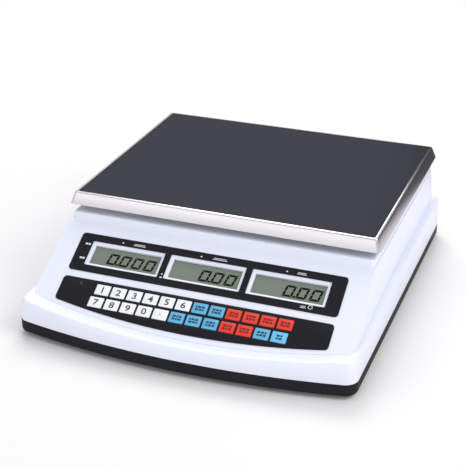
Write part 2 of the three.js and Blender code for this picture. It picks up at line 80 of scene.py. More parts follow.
# %% [markdown]
# ## Adding nodes
# Colours are written as sRGB hex values, as a paint chart gives them, and one function turns them into the
# linear numbers that Blender computes with. One more function adds a node, with its settings and whatever
# feeds it.

# %% Colour and node helpers
def linear(hex_colour):
    """An sRGB hex colour as linear red, green, blue and alpha."""
    parts = [int(hex_colour[i : i + 2], 16) / 255 for i in (1, 3, 5)]
    return [p / 12.92 if p <= 0.04045 else ((p + 0.055) / 1.055) ** 2.4 for p in parts] + [1.0]


def add_node(tree, kind, inputs=None, **settings):
    """A node of this kind, with its settings; each input gets a value, or another node's output."""
    node = tree.nodes.new(kind)
    for name, value in settings.items():
        setattr(node, name, value)
    for name, value in (inputs or {}).items():
        if isinstance(value, bpy.types.NodeSocket):
            tree.links.new(value, node.inputs[name])
        else:
            node.inputs[name].default_value = value
    return node


def new_material(name):
    """An empty node material and its tree."""
    material = bpy.data.materials.new(name)
    material.use_nodes = True
    material.node_tree.nodes.clear()
    return material, material.node_tree


# %% [markdown]
# ## Light
# The scale stands in a white studio. The surroundings give soft light from all round. A large softbox above
# and to the right makes the right-hand walls the brightest, another behind lights the level surfaces and
# the back, and a low panel in front gives the steel flange something white to reflect.

# %% Light
world = bpy.data.worlds.new("studio")
world.use_nodes = True
world.node_tree.nodes.clear()
surround = add_node(world.node_tree, "ShaderNodeBackground", {"Color": linear("#fbfbff"), "Strength": 0.6})
add_node(world.node_tree, "ShaderNodeOutputWorld", {"Surface": surround.outputs["Background"]})
scene.world = world


def softbox(name, place, target, width, height, power):
    """A rectangular light at a place, turned towards a target."""
    light = bpy.data.lights.new(name, "AREA")
    light.shape = "RECTANGLE"
    light.size, light.size_y = width, height
    light.energy = power
    lamp = bpy.data.objects.new(name, light)
    lamp.location = place
    lamp.rotation_euler = (Vector(target) - Vector(place)).to_track_quat("-Z", "Y").to_euler()
    scene.collection.objects.link(lamp)


softbox("key_softbox", (1.5, -0.3, 1.5), (0, 0, 0.05), 1.2, 1.2, 18)
softbox("rear_softbox", (-0.6, 1.3, 1.7), (0, 0, 0), 1.4, 1.0, 20)
softbox("front_panel", (-0.5, -2.2, 0.65), (0, -0.1, 0.1), 3.8, 1.1, 12.5)
print("lights:", len(bpy.data.lights))

# %% [markdown]
# ## Floor
# A plain pale table, wide enough to fill the picture. It isn't part of the object.

# %% Floor
floor_material, tree = new_material("pale_table")
grain = add_node(tree, "ShaderNodeTexNoise", {"Scale": 3.0, "Detail": 3.0})
tone = add_node(
    tree,
    "ShaderNodeMix",
    {"Factor": grain.outputs["Fac"], "A": linear("#f1efee"), "B": linear("#f4f3f2")},
    data_type="RGBA",
)
surface = add_node(
    tree, "ShaderNodeBsdfPrincipled", {"Base Color": tone.outputs["Result"], "Roughness": 0.75}
)
add_node(tree, "ShaderNodeOutputMaterial", {"Surface": surface.outputs["BSDF"]})

bm = bmesh.new()
bmesh.ops.create_grid(bm, x_segments=4, y_segments=4, size=8.0)
floor_mesh = bpy.data.meshes.new("table_top")
bm.to_mesh(floor_mesh)
bm.free()
floor_mesh.materials.append(floor_material)
floor = bpy.data.objects.new("table_top", floor_mesh)
scene.collection.objects.link(floor)
print("floor laid")

# %% [markdown]
# ## Black flag
# A polished flange shows whatever stands opposite it. Photographers put a black card, a flag, where one
# side of a metal part has to look dark. This one stands behind the scale on the right, and only reflections
# can see it.

# %% Black flag
card_material, tree = new_material("black_card")
fibre = add_node(tree, "ShaderNodeTexNoise", {"Scale": 60.0})
gloss = add_node(tree, "ShaderNodeMapRange", {"Value": fibre.outputs["Fac"], "To Min": 0.85, "To Max": 0.95})
surface = add_node(
    tree, "ShaderNodeBsdfPrincipled", {"Base Color": linear("#0d0d0e"), "Roughness": gloss.outputs["Result"]}
)
add_node(tree, "ShaderNodeOutputMaterial", {"Surface": surface.outputs["BSDF"]})

bm = bmesh.new()
stand = Matrix.Translation((0.62, 0.38, 0.19)) @ Matrix.Rotation(math.radians(90), 4, "X")
size = Matrix.Diagonal((0.5, 0.2, 1, 1))
bmesh.ops.create_grid(bm, x_segments=1, y_segments=1, size=1.0, matrix=stand @ size)
card_mesh = bpy.data.meshes.new("black_flag")
bm.to_mesh(card_mesh)
bm.free()
card_mesh.materials.append(card_material)
card = bpy.data.objects.new("black_flag", card_mesh)
card.visible_camera = False
card.visible_diffuse = False
card.visible_shadow = False
scene.collection.objects.link(card)

# %% [markdown]
# ## White moulded plastic
# The housing is ABS, injection moulded in a spark-textured tool: a cool white, satin, with a very fine
# grain that breaks up its highlights. The real grain is about 0.1 mm, too fine to show, so it is drawn at
# 0.9 mm and very shallow.

# %% Moulded plastic
def moulded_plastic(name, colour, shade, roughness, grain_mm, depth_mm, specular=0.5):
    """Satin moulded plastic: two near tones in broad clouds, and a fine raised grain."""
    material, tree = new_material(name)
    place = add_node(tree, "ShaderNodeTexCoord").outputs["Object"]
    clouds = add_node(tree, "ShaderNodeTexNoise", {"Vector": place, "Scale": 9.0, "Detail": 2.0})
    tone = add_node(
        tree,
        "ShaderNodeMix",
        {"Factor": clouds.outputs["Fac"], "A": linear(colour), "B": linear(shade)},
        data_type="RGBA",
    )
    grain = add_node(tree, "ShaderNodeTexNoise", {"Vector": place, "Scale": 1000 / grain_mm, "Detail": 2.0})
    gloss = add_node(
        tree,
        "ShaderNodeMapRange",
        {"Value": grain.outputs["Fac"], "To Min": roughness - 0.05, "To Max": roughness + 0.05},
    )
    relief = {"Height": grain.outputs["Fac"], "Strength": 0.35, "Distance": depth_mm * MM}
    bump = add_node(tree, "ShaderNodeBump", relief)
    surface = add_node(
        tree,
        "ShaderNodeBsdfPrincipled",
        {
            "Base Color": tone.outputs["Result"],
            "Roughness": gloss.outputs["Result"],
            "IOR": 1.54,
            "Specular IOR Level": specular,
            "Normal": bump.outputs["Normal"],
        },
    )
    add_node(tree, "ShaderNodeOutputMaterial", {"Surface": surface.outputs["BSDF"]})
    return material


white_abs = moulded_plastic("white_moulded_abs", "#eceffc", "#e7eaf9", 0.38, 0.9, 0.05)
black_abs = moulded_plastic("black_moulded_abs", "#26252b", "#212025", 0.5, 1.1, 0.12, specular=0.06)
white_key = moulded_plastic("white_key_plastic", "#f3f5fb", "#eef1f8", 0.36, 0.8, 0.03)
blue_key = moulded_plastic("blue_key_plastic", "#62b4dc", "#59abd6", 0.38, 0.8, 0.03)
pale_blue_key = moulded_plastic("pale_blue_key_plastic", "#6fc3ec", "#66bae6", 0.38, 0.8, 0.03)
red_key = moulded_plastic("red_key_plastic", "#ee3a22", "#e2331f", 0.38, 0.8, 0.03)
black_rubber = moulded_plastic("black_rubber", "#1f1f21", "#19191b", 0.8, 1.4, 0.15)
battery_case = moulded_plastic("battery_case_abs", "#4c4e54", "#46484e", 0.5, 1.2, 0.1)
print("moulded plastics made")

# %% [markdown]
# ## Printed film
# The black fields are polyester film, printed on its back and bonded to the housing: nearly black with a
# trace of violet, smooth, with a slight orange-peel. The marks on it are printed white ink.

# %% Film and inks
def smooth_skin(name, colour, roughness, ripple_mm=6.0, depth_mm=0.015, specular=0.5):
    """A smooth printed or painted skin with a faint ripple in its gloss."""
    material, tree = new_material(name)
    place = add_node(tree, "ShaderNodeTexCoord").outputs["Object"]
    ripple = add_node(tree, "ShaderNodeTexNoise", {"Vector": place, "Scale": 1000 / ripple_mm, "Detail": 1.0})
    gloss = add_node(
        tree,
        "ShaderNodeMapRange",
        {"Value": ripple.outputs["Fac"], "To Min": roughness - 0.04, "To Max": roughness + 0.04},
    )
    relief = {"Height": ripple.outputs["Fac"], "Strength": 0.3, "Distance": depth_mm * MM}
    bump = add_node(tree, "ShaderNodeBump", relief)
    surface = add_node(
        tree,
        "ShaderNodeBsdfPrincipled",
        {
            "Base Color": linear(colour),
            "Roughness": gloss.outputs["Result"],
            "IOR": 1.5,
            "Specular IOR Level": specular,
            "Normal": bump.outputs["Normal"],
        },
    )
    add_node(tree, "ShaderNodeOutputMaterial", {"Surface": surface.outputs["BSDF"]})
    return material


black_film = smooth_skin("black_polyester_film", "#1c1b21", 0.42, specular=0.15)
white_ink = smooth_skin("white_printing_ink", "#dfe0e6", 0.5)
dark_ink = smooth_skin("dark_printing_ink", "#3c3f4b", 0.5)
blue_ink = smooth_skin("blue_black_printing_ink", "#143a55", 0.5)
red_ink = smooth_skin("dark_red_printing_ink", "#6a120c", 0.5)
lamp_red = smooth_skin("unlit_red_lamp", "#4a2420", 0.35)
segment_black = smooth_skin("display_segment_black", "#0c0c0e", 0.4, specular=0.1)

# %% [markdown]
# ## Display glass
# A reflective liquid-crystal display is a pale grey-green, a little uneven, under a satin polariser.

# %% Display glass
display_glass, tree = new_material("reflective_display_glass")
place = add_node(tree, "ShaderNodeTexCoord").outputs["Object"]
cloud = add_node(tree, "ShaderNodeTexNoise", {"Vector": place, "Scale": 40.0, "Detail": 3.0})
tone = add_node(
    tree,
    "ShaderNodeMix",
    {"Factor": cloud.outputs["Fac"], "A": linear("#767e71"), "B": linear("#7d8577")},
    data_type="RGBA",
)
surface = add_node(
    tree, "ShaderNodeBsdfPrincipled", {"Base Color": tone.outputs["Result"], "Roughness": 0.3, "IOR": 1.5}
)
add_node(tree, "ShaderNodeOutputMaterial", {"Surface": surface.outputs["BSDF"]})

# %% [markdown]
# ## Metals
# The platter is stainless steel with a satin finish: brushed along its length, so the fine lines run left
# and right. The lines are really about 0.05 mm apart, and are drawn coarser, at 0.7 mm, so that they show.
# The beam and the cross under the platter are aluminium, and the screws and studs are zinc-plated steel.

# %% Metals
def satin_metal(name, colour, roughness, line_mm, along="X", depth_mm=0.01):
    """A metal brushed along one axis: long streaks in its gloss and a very shallow relief."""
    material, tree = new_material(name)
    place = add_node(tree, "ShaderNodeTexCoord").outputs["Object"]
    across = 1000 / line_mm
    stretch = [across * (0.02 if axis == along else 1.0) for axis in "XYZ"]
    drawn = add_node(tree, "ShaderNodeMapping", {"Vector": place, "Scale": stretch}).outputs["Vector"]
    lines = add_node(tree, "ShaderNodeTexNoise", {"Vector": drawn, "Scale": 1.0})
    gloss = add_node(
        tree,
        "ShaderNodeMapRange",
        {"Value": lines.outputs["Fac"], "To Min": roughness - 0.08, "To Max": roughness + 0.08},
    )
    relief = {"Height": lines.outputs["Fac"], "Strength": 0.4, "Distance": depth_mm * MM}
    bump = add_node(tree, "ShaderNodeBump", relief)
    surface = add_node(
        tree,
        "ShaderNodeBsdfPrincipled",
        {
            "Base Color": linear(colour),
            "Metallic": 1.0,
            "Roughness": gloss.outputs["Result"],
            "Normal": bump.outputs["Normal"],
        },
    )
    add_node(tree, "ShaderNodeOutputMaterial", {"Surface": surface.outputs["BSDF"]})
    return material


brushed_steel = satin_metal("brushed_stainless_steel", "#d9d7da", 0.34, 0.7)
cast_aluminium = satin_metal("cast_aluminium", "#b9bbbd", 0.5, 2.0)
zinc_plate = satin_metal("zinc_plated_steel", "#a9acb0", 0.4, 1.0, along="Z")

# %% [markdown]
# ## Platter sheet and circuit board
# The dark sheet on the platter is a painted reflection: the polished steel top mirrors dark surroundings,
# and this satin sheet, near black with a trace of blue, is drawn in place of that reflection. The boards are
# glass-fibre laminate under a green solder mask, with the weave just visible.

# %% Sheet and board
# painted reflection: a near-black satin sheet stands for the dark surroundings that the polished steel top
# reflects
dark_sheet = smooth_skin("painted_reflection_sheet", "#2c2d37", 0.5, ripple_mm=3.0, depth_mm=0.01, specular=0.06)

board_green, tree = new_material("green_circuit_board")
place = add_node(tree, "ShaderNodeTexCoord").outputs["Object"]
warp = add_node(tree, "ShaderNodeTexWave", {"Vector": place, "Scale": 250.0}, bands_direction="X")
weft = add_node(tree, "ShaderNodeTexWave", {"Vector": place, "Scale": 250.0}, bands_direction="Y")
threads = {0: warp.outputs["Fac"], 1: weft.outputs["Fac"]}
weave = add_node(tree, "ShaderNodeMath", threads, operation="MULTIPLY")
tone = add_node(
    tree,
    "ShaderNodeMix",
    {"Factor": weave.outputs["Value"], "A": linear("#1b5f38"), "B": linear("#246f44")},
    data_type="RGBA",
)
surface = add_node(
    tree, "ShaderNodeBsdfPrincipled", {"Base Color": tone.outputs["Result"], "Roughness": 0.4, "IOR": 1.5}
)
add_node(tree, "ShaderNodeOutputMaterial", {"Surface": surface.outputs["BSDF"]})
print("materials:", len(bpy.data.materials))

# %% [markdown]
# ## Making pieces
# A finished piece is a mesh that sits at the origin, with its place in its vertices. It rides on the body
# that it belongs to, and stands for the solid-model part that it refines. Flat faces stay flat and curved
# ones are shaded smooth: edges sharper than an angle are marked.

# %% Piece helpers
def make_piece(name, bm, materials, body, stands_for=(), smooth_angle=35, edge_mm=0.0, wall_mm=0.0):
    """A finished piece from a bmesh: materials, smooth shading, an optional wall and rounded edges."""
    mesh = bpy.data.meshes.new(name)
    bm.to_mesh(mesh)
    bm.free()
    for material in materials:
        mesh.materials.append(material)
    mesh.shade_smooth()
    mesh.set_sharp_from_angle(angle=math.radians(smooth_angle))
    piece = bpy.data.objects.new(name, mesh)
    scene.collection.objects.link(piece)
    if wall_mm:
        wall = piece.modifiers.new("wall", "SOLIDIFY")
        wall.thickness = wall_mm * MM
        wall.offset = -1.0
        wall.use_even_offset = True
    if edge_mm:
        round_edges(piece, edge_mm)
    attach(piece, body)
    if stands_for:
        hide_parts(*stands_for)
    return piece


def round_edges(piece, radius_mm, segments=2, angle=40):
    """A small radius on every edge sharper than an angle, as a mould or a deburring tool leaves it."""
    bevel = piece.modifiers.new("rounded edges", "BEVEL")
    bevel.width = radius_mm * MM
    bevel.segments = segments
    bevel.limit_method = "ANGLE"
    bevel.angle_limit = math.radians(angle)
    bevel.use_clamp_overlap = True
    bevel.harden_normals = False


def body_holding(node):
    """The name of the body that a CAD node belongs to."""
    return next(name for name, held in frame["record"]["behaviour"]["bodies"].items() if node in held)


def slot_of(node):
    """The record's material slot of a CAD node."""
    return next(part["material_slot"] for part in frame["record"]["subparts"] if part["node"] == node)


def merged_copy(node, join_flats=True):
    """A bmesh of a CAD node's shape: loose triangles joined and, if wanted, flat faces made whole."""
    bm = bmesh.new()
    bm.from_mesh(nodes[node].data)
    bmesh.ops.remove_doubles(bm, verts=bm.verts, dist=0.00001)
    if join_flats:
        bmesh.ops.dissolve_limit(bm, angle_limit=math.radians(1), verts=bm.verts, edges=bm.edges)
    return bm


def refine(node, material, edge_mm=0.3, smooth_angle=35, join_flats=True):
    """A smooth-shaded copy of a CAD node with rounded edges and a finish."""
    bm = merged_copy(node, join_flats)
    body, slot = body_holding(node), slot_of(node)
    return make_piece(f"{node}_finished", bm, [material], body, [node], smooth_angle, edge_mm)


# %% [markdown]
# ## Working in millimetres
# A new shape is made in millimetres, around its own middle, and one transform at the end puts it in its
# place in metres. The place comes from the engineering model where that has the part, and from the panel's
# own plane for what is on the control panel: u runs to the right, v up the slope, and n out of the face.

# %% Placing helpers
PANEL_FOOT = (0.0, -183.5, 32.0)
PANEL_TILT = math.radians(30.7)
FILM_TOP = 0.7
GLASS_TOP = -4.3


def settle(bm, place):
    """Turns a shape made in millimetres into metres, and moves it to its place."""
    bmesh.ops.transform(bm, matrix=place @ Matrix.Scale(MM, 4), verts=bm.verts)
    return bm


def on_panel(u=0.0, v=0.0, n=0.0):
    """A place on the control panel, in millimetres, turned to its slope."""
    turned = Matrix.Translation(Vector(PANEL_FOOT) * MM) @ Matrix.Rotation(PANEL_TILT, 4, "X")
    return turned @ Matrix.Translation(Vector((u, v, n)) * MM)


def middle(node):
    """The middle of a CAD node's box."""
    low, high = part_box(node)
    return (low + high) / 2


print("top of the keypad film at", [round(value, 4) for value in on_panel(0, 42.5).translation])

# %% [markdown]
# ## Printed marks
# Ink is a very thin solid, half in and half out of what it is printed on, and stands 0.05 mm proud. A bar
# is a thin block, a dot a thin disc, and a ring a very low tube. Digits come from Blender's own font. They
# all go into the mesh of what they are printed on, or into a mesh of their own, with the ink as its
# material.

# %% Marks
INK = 0.05
DIGIT_STRETCH = 1.15


def each_once(parts):
    """Parts of a mesh, each once and in the order they came, so that every run does the same."""
    return list(dict.fromkeys(parts))


def paint(verts, index):
    """Gives the faces of these vertices a material index."""
    for face in each_once(face for vert in verts for face in vert.link_faces):
        face.material_index = index


def add_bar(bm, x, y, z, width, height, index=0):
    """A printed bar, centred at x, y, on a surface at z."""
    place = Matrix.Translation((x, y, z)) @ Matrix.Diagonal((width, height, 2 * INK, 1))
    paint(bmesh.ops.create_cube(bm, size=1.0, matrix=place)["verts"], index)


def add_dot(bm, x, y, z, radius, index=0):
    """A printed disc, centred at x, y, on a surface at z."""
    place = Matrix.Translation((x, y, z))
    disc = bmesh.ops.create_cone(
        bm, cap_ends=True, segments=24, radius1=radius, radius2=radius, depth=2 * INK, matrix=place
    )
    paint(disc["verts"], index)


def add_tube(bm, x, y, low, high, outer, inner):
    """An upright tube between two heights; a very low one is a printed ring."""
    circle = bmesh.ops.create_circle(
        bm, cap_ends=True, segments=24, radius=outer, matrix=Matrix.Translation((x, y, low))
    )
    face = circle["verts"][0].link_faces[0]
    band = bmesh.ops.inset_region(
        bm, faces=[face], thickness=outer - inner, use_even_offset=True, use_boundary=True
    )["faces"]
    bmesh.ops.delete(bm, geom=[face], context="FACES_ONLY")
    raised = bmesh.ops.extrude_face_region(bm, geom=band)["geom"]
    top = [part for part in raised if isinstance(part, bmesh.types.BMVert)]
    bmesh.ops.translate(bm, vec=(0, 0, high - low), verts=top)
    ends = each_once(end for vert in top for edge in vert.link_edges for end in edge.verts)
    faces = each_once(face for end in ends for face in end.link_faces)
    bmesh.ops.recalc_face_normals(bm, faces=faces)


def add_digits(bm, text, x, y, z, height, index=0):
    """Printed digits, centred at x, y, on a surface at z."""
    half_depth = 0.01
    curve = bpy.data.curves.new("printed", "FONT")
    curve.body = text
    curve.resolution_u = 5
    curve.offset = 0.02
    curve.extrude = half_depth
    mesh = bpy.data.meshes.new_from_object(bpy.data.objects.new("printed", curve))
    xs = [vert.co.x for vert in mesh.vertices]
    ys = [vert.co.y for vert in mesh.vertices]
    scale = height / (max(ys) - min(ys))
    mesh.transform(Matrix.Translation((-(min(xs) + max(xs)) / 2, -(min(ys) + max(ys)) / 2, 0)))
    stretch = Matrix.Diagonal((scale * DIGIT_STRETCH, scale, INK / half_depth, 1))
    mesh.transform(Matrix.Translation((x, y, z)) @ stretch)
    glyphs = bmesh.new()
    glyphs.from_mesh(mesh)
    bmesh.ops.remove_doubles(glyphs, verts=glyphs.verts, dist=0.0001)
    bmesh.ops.recalc_face_normals(glyphs, faces=glyphs.faces)
    glyphs.to_mesh(mesh)
    glyphs.free()
    for polygon in mesh.polygons:
        polygon.material_index = index
    bm.from_mesh(mesh)


# %% [markdown]
# ## Outlines
# Most moulded and pressed parts start from a rectangle with round corners. One face and a vertex bevel make
# it: with the profile at a half, the bevel is an arc.

# %% Outline helpers
def rounded_plate(bm, width, depth, corner, z=0.0, segments=6):
    """One flat face, centred: a rectangle with round corners, at a height."""
    place = Matrix.Translation((0, 0, z)) @ Matrix.Diagonal((width / 2, depth / 2, 1, 1))
    verts = bmesh.ops.create_grid(bm, x_segments=1, y_segments=1, size=1.0, matrix=place)["verts"]
    arcs = bmesh.ops.bevel(
        bm, geom=verts, offset=corner, segments=segments, profile=0.5, affect="VERTICES", material=-1
    )
    return arcs["verts"][0].link_faces[0]


def rounded_block(width, depth, height, corner, edge):
    """A centred block with round upright corners and a small radius round its top."""
    bm = bmesh.new()
    bmesh.ops.create_cube(bm, size=1.0, matrix=Matrix.Diagonal((width, depth, height, 1)))
    upright = [e for e in bm.edges if abs(e.verts[0].co.z - e.verts[1].co.z) > height / 2]
    bmesh.ops.bevel(bm, geom=upright, offset=corner, segments=3, profile=0.5, affect="EDGES", material=-1)
    crown = [e for e in bm.edges if min(v.co.z for v in e.verts) > height / 2 - 0.001]
    bmesh.ops.bevel(bm, geom=crown, offset=edge, segments=2, profile=0.5, affect="EDGES", material=-1)
    return bm


# %% [markdown]
# ## Housing
# The housing is one white moulding: walls that round over into a rim, a narrow ledge, and a raised deck
# whose front is cut off by the sloping panel. Each level has the same outline: a front that bows outwards,
# straight sides and four round corners. A vertex is spun for the bow, the corners are bevelled and the
# sides are cut into steps, so that every level has as many vertices as the next and a bridge can join them.
# A bevel's offset is how far the arc reaches along each edge. The outline turns through 78 degrees where
# the bow meets a side, so there that is 0.81 of the radius.

# %% Outline of a level
BOW_STEPS, CORNER_STEPS, SIDE_CUTS = 24, 8, 24
TANGENT_SHARE = 0.81


def outline(half_width, front, back, bow, front_radius, back_radius):
    """A mesh of one closed level of the housing, flat at zero height."""
    bm = bmesh.new()
    centre = Vector((0, front + bow, 0))
    reach = math.asin(half_width / bow)
    start = bm.verts.new(centre - bow * Vector((math.sin(reach), math.cos(reach), 0)))
    bmesh.ops.spin(bm, geom=[start], cent=centre, axis=(0, 0, 1), angle=2 * reach, steps=BOW_STEPS)
    front_ends = [bm.verts[:][0], bm.verts[:][-1]]
    back_ends = [bm.verts.new((half_width, back, 0)), bm.verts.new((-half_width, back, 0))]
    bm.faces.new(bm.verts[:])
    for ends, tangent in ((front_ends, front_radius * TANGENT_SHARE), (back_ends, back_radius)):
        bmesh.ops.bevel(
            bm, geom=ends, offset=tangent, segments=CORNER_STEPS, profile=0.5, affect="VERTICES", material=-1
        )
    bmesh.ops.delete(bm, geom=bm.faces[:], context="FACES_ONLY")
    long_edges = [edge for edge in bm.edges if edge.calc_length() > half_width]
    sides = [edge for edge in long_edges if abs(edge.verts[0].co.x - edge.verts[1].co.x) < 1]
    bmesh.ops.subdivide_edges(bm, edges=sides, cuts=SIDE_CUTS)
    mesh = bpy.data.meshes.new("level")
    bm.to_mesh(mesh)
    bm.free()
    return mesh


def add_level(bm, height, **size):
    """Adds a level at a height, or at the height that a function gives for x and y. Returns its vertices."""
    known = set(bm.verts)
    bm.from_mesh(outline(**size))
    level = [vert for vert in bm.verts if vert not in known]
    for vert in level:
        vert.co.z = height(vert.co.x, vert.co.y) if callable(height) else height
    return level


def bridge(bm, lower, upper):
    """Joins two levels with a band of faces."""
    levels = (set(lower), set(upper))
    edges = each_once(edge for vert in [*lower, *upper] for edge in vert.link_edges)
    loops = [edge for edge in edges if any(set(edge.verts) <= level for level in levels)]
    return bmesh.ops.bridge_loops(bm, edges=loops)["faces"]


# %% [markdown]
# The rim isn't level. It is lowest in the middle of the front, rises towards the corners, and rises again
# along the sides, so its height is a function of where it is. The wall turns over into it along a quarter
# of an ellipse.

# %% Housing levels
BODY = {
    "half_width": 183.0,
    "front": -211.0,
    "back": 209.0,
    "bow": 882.0,
    "front_radius": 14.0,
    "back_radius": 16.0,
}
DECK_LOW = {
    "half_width": 177.5,
    "front": -188.5,
    "back": 203.0,
    "bow": 859.5,
    "front_radius": 10.0,
    "back_radius": 12.0,
}
DECK_HIGH = DECK_LOW | {"half_width": 170.3, "back": 198.0}
DECK_HEIGHTS = (19.0, 98.0)
SKIRT_FOOT, DECK_TOP, LEDGE_DROP = 18.15, 89.9, 0.8
ROUND_STEPS = 7


def rim_height(x, y):
    """The height of the rim over the table."""
    along = min(max((y + 187) / 190, 0), 1)
    return 31.2 + 10.2 * (x / BODY["half_width"]) ** 2 + 12 * along * along * (3 - 2 * along)


def panel_height(y):
    """The height of the panel's plane."""
    return PANEL_FOOT[2] + (y - PANEL_FOOT[1]) * math.tan(PANEL_TILT)


def inset_body(inset):
    """The body's outline, moved in by so much."""
    return {name: value + (inset if name == "front" else -inset) for name, value in BODY.items()}


housing = bmesh.new()
level = add_level(housing, SKIRT_FOOT, **BODY)
for step in range(ROUND_STEPS):
    turn = math.radians(90 * step / (ROUND_STEPS - 1))
    inset, drop = 6 - 4.8 * math.cos(turn), 7 * (1 - math.sin(turn))
    following = add_level(housing, lambda x, y: rim_height(x, y) - drop, **inset_body(inset))
    bridge(housing, level, following)
    level = following
foot = add_level(housing, DECK_HEIGHTS[0], **DECK_LOW)
top = add_level(housing, DECK_HEIGHTS[1], **DECK_HIGH)
for low_vert, high_vert in zip(foot, top):
    x, y, z = low_vert.co
    height = min(rim_height(x, y), panel_height(y)) - LEDGE_DROP
    low_vert.co = low_vert.co.lerp(high_vert.co, (height - z) / (high_vert.co.z - z))
bridge(housing, level, foot)
deck = bridge(housing, foot, top)
print("housing levels joined:", len(housing.faces), "faces")

# %% [markdown]
# Two planes cut the deck: the slope of the panel and the level top. Each cut is closed with one flat face.
# The ridges at both sides of the panel are soft, so they get a wider bevel than the edges that the mould
# leaves sharp.

# %% Slope and top
SNAP = 1e-4  # a vertex closer than this to a cutting plane counts as on it


def cut_off(bm, faces, point, normal):
    """Cuts faces off above a plane, and closes the cut with one face."""
    geom = each_once(part for face in faces for part in (face, *face.edges, *face.verts))
    result = bmesh.ops.bisect_plane(
        bm, geom=geom, plane_co=point, plane_no=normal, clear_outer=True, dist=SNAP
    )
    edges = [part for part in result["geom_cut"] if isinstance(part, bmesh.types.BMEdge)]
    bmesh.ops.holes_fill(bm, edges=edges)


def plane_faces(bm, height, normal):
    """The faces above a height that lie in planes with this normal."""
    facing = Vector(normal).normalized()
    level = [face for face in bm.faces if face.calc_center_median().z > height]
    return [face for face in level if face.normal.dot(facing) > 0.999]


SLOPE_NORMAL = (0, -math.sin(PANEL_TILT), math.cos(PANEL_TILT))
top_edges = [e for vert in top for e in vert.link_edges if e.is_boundary]
deck += bmesh.ops.holes_fill(housing, edges=each_once(top_edges))["faces"]
cut_off(housing, deck, PANEL_FOOT, SLOPE_NORMAL)
above = [f for f in housing.faces if max(v.co.z for v in f.verts) > DECK_TOP + 0.01]
cut_off(housing, above, (0, 0, DECK_TOP), (0, 0, 1))
bmesh.ops.recalc_face_normals(housing, faces=housing.faces)
panel = max(plane_faces(housing, 20, SLOPE_NORMAL), key=lambda face: face.calc_area())
RIDGE_FROM, RIDGE_RADIUS = -163.0, 2.4
behind = [edge for edge in panel.edges if min(vert.co.y for vert in edge.verts) > RIDGE_FROM]
ridges = [edge for edge in behind if min(vert.co.z for vert in edge.verts) < DECK_TOP - 1]
bmesh.ops.bevel(
    housing,
    geom=ridges,
    offset=RIDGE_RADIUS,
    segments=4,
    profile=0.5,
    affect="EDGES",
    clamp_overlap=True,
    material=-1,
)
print("panel cut, ridges:", len(ridges))

# %% [markdown]
# The windows and the key field are cut by planes too: each plane adds one straight cut across the panel,
# and the faces between the cuts are taken out. A window's face is first inset, downwards, for the sloping
# frame round each display and the short straight wall below it.

# %% Windows, key field and rear openings
WINDOW = {"width": 84.0, "height": 30.0, "v": 74.4, "pitch": 91.0, "frame": ((3.4, 1.7), (0.3, 2.2))}
KEY_FIELD = {"left": -112.0, "right": 110.0, "low": 9.2, "high": 40.5}


def slice_faces(bm, faces, cuts, frame_of):
    """Cuts faces along planes given as (axis, distance) in a local frame. Returns the faces that result."""
    for axis, distance in cuts:
        point = frame_of @ (Vector([axis == i for i in range(3)]) * distance)
        normal = frame_of.to_3x3() @ Vector([float(axis == i) for i in range(3)])
        geom = each_once(part for face in faces for part in (face, *face.edges, *face.verts))
        result = bmesh.ops.bisect_plane(bm, geom=geom, plane_co=point, plane_no=normal, dist=SNAP)["geom"]
        faces = [part for part in result if isinstance(part, bmesh.types.BMFace)]
    return faces


def faces_within(faces, frame_of, low, high):
    """The faces whose middle lies between two corners, in a local frame, on its first two axes."""
    back = frame_of.inverted()
    middles = [(face, back @ face.calc_center_bounds()) for face in faces]
    return [face for face, at in middles if low[0] < at.x < high[0] and low[1] < at.y < high[1]]


slope = Matrix.Translation(PANEL_FOOT) @ Matrix.Rotation(PANEL_TILT, 4, "X")
centres = [-WINDOW["pitch"], 0.0, WINDOW["pitch"]]
half_window = (WINDOW["width"] / 2, WINDOW["height"] / 2)
panel = max(plane_faces(housing, 20, SLOPE_NORMAL), key=lambda face: face.calc_area())
cuts = [(0, u + side * half_window[0]) for u in centres for side in (-1, 1)]
cuts += [(1, WINDOW["v"] + side * half_window[1]) for side in (-1, 1)]
cuts += [(0, KEY_FIELD["left"]), (0, KEY_FIELD["right"]), (1, KEY_FIELD["low"]), (1, KEY_FIELD["high"])]
panel_faces = slice_faces(housing, [panel], cuts, slope)

v_low, v_high = WINDOW["v"] - half_window[1], WINDOW["v"] + half_window[1]
panes = [
    faces_within(panel_faces, slope, (u - half_window[0], v_low), (u + half_window[0], v_high))
    for u in centres
]
field = faces_within(
    panel_faces, slope, (KEY_FIELD["left"], KEY_FIELD["low"]), (KEY_FIELD["right"], KEY_FIELD["high"])
)
bmesh.ops.delete(housing, geom=field, context="FACES")
for pane in panes:
    for thickness, depth in WINDOW["frame"]:
        bmesh.ops.inset_region(housing, faces=pane, thickness=thickness, depth=-depth, use_even_offset=True)
bmesh.ops.delete(housing, geom=[face for pane in panes for face in pane], context="FACES")

rear = Matrix.Translation((0, BODY["back"], 0)) @ Matrix.Rotation(math.radians(90), 4, "X")
OPENINGS = ((120.0, 33.0, 27.6, 20.6), (76.0, 33.0, 19.6, 13.6))  # x, z, width and height, inlet then switch
back_faces = [
    face
    for face in housing.faces
    if face.normal.y > 0.9 and face.calc_center_median().z < 45 and face.calc_area() > 2000
]
for x, z, width, height in OPENINGS:
    low_corner, high_corner = (x - width / 2, z - height / 2), (x + width / 2, z + height / 2)
    cuts = [(0, low_corner[0]), (0, high_corner[0]), (1, low_corner[1]), (1, high_corner[1])]
    back_faces = slice_faces(housing, back_faces, cuts, rear)
    hole = faces_within(back_faces, rear, low_corner, high_corner)
    back_faces = [face for face in back_faces if face not in hole]
    bmesh.ops.delete(housing, geom=hole, context="FACES")
print("windows:", [len(pane) for pane in panes], "key field:", len(field))

# %% [markdown]
# A flat-topped step stands on the deck, under the platter, with a square opening for the post that carries
# it. The deck is open under it.

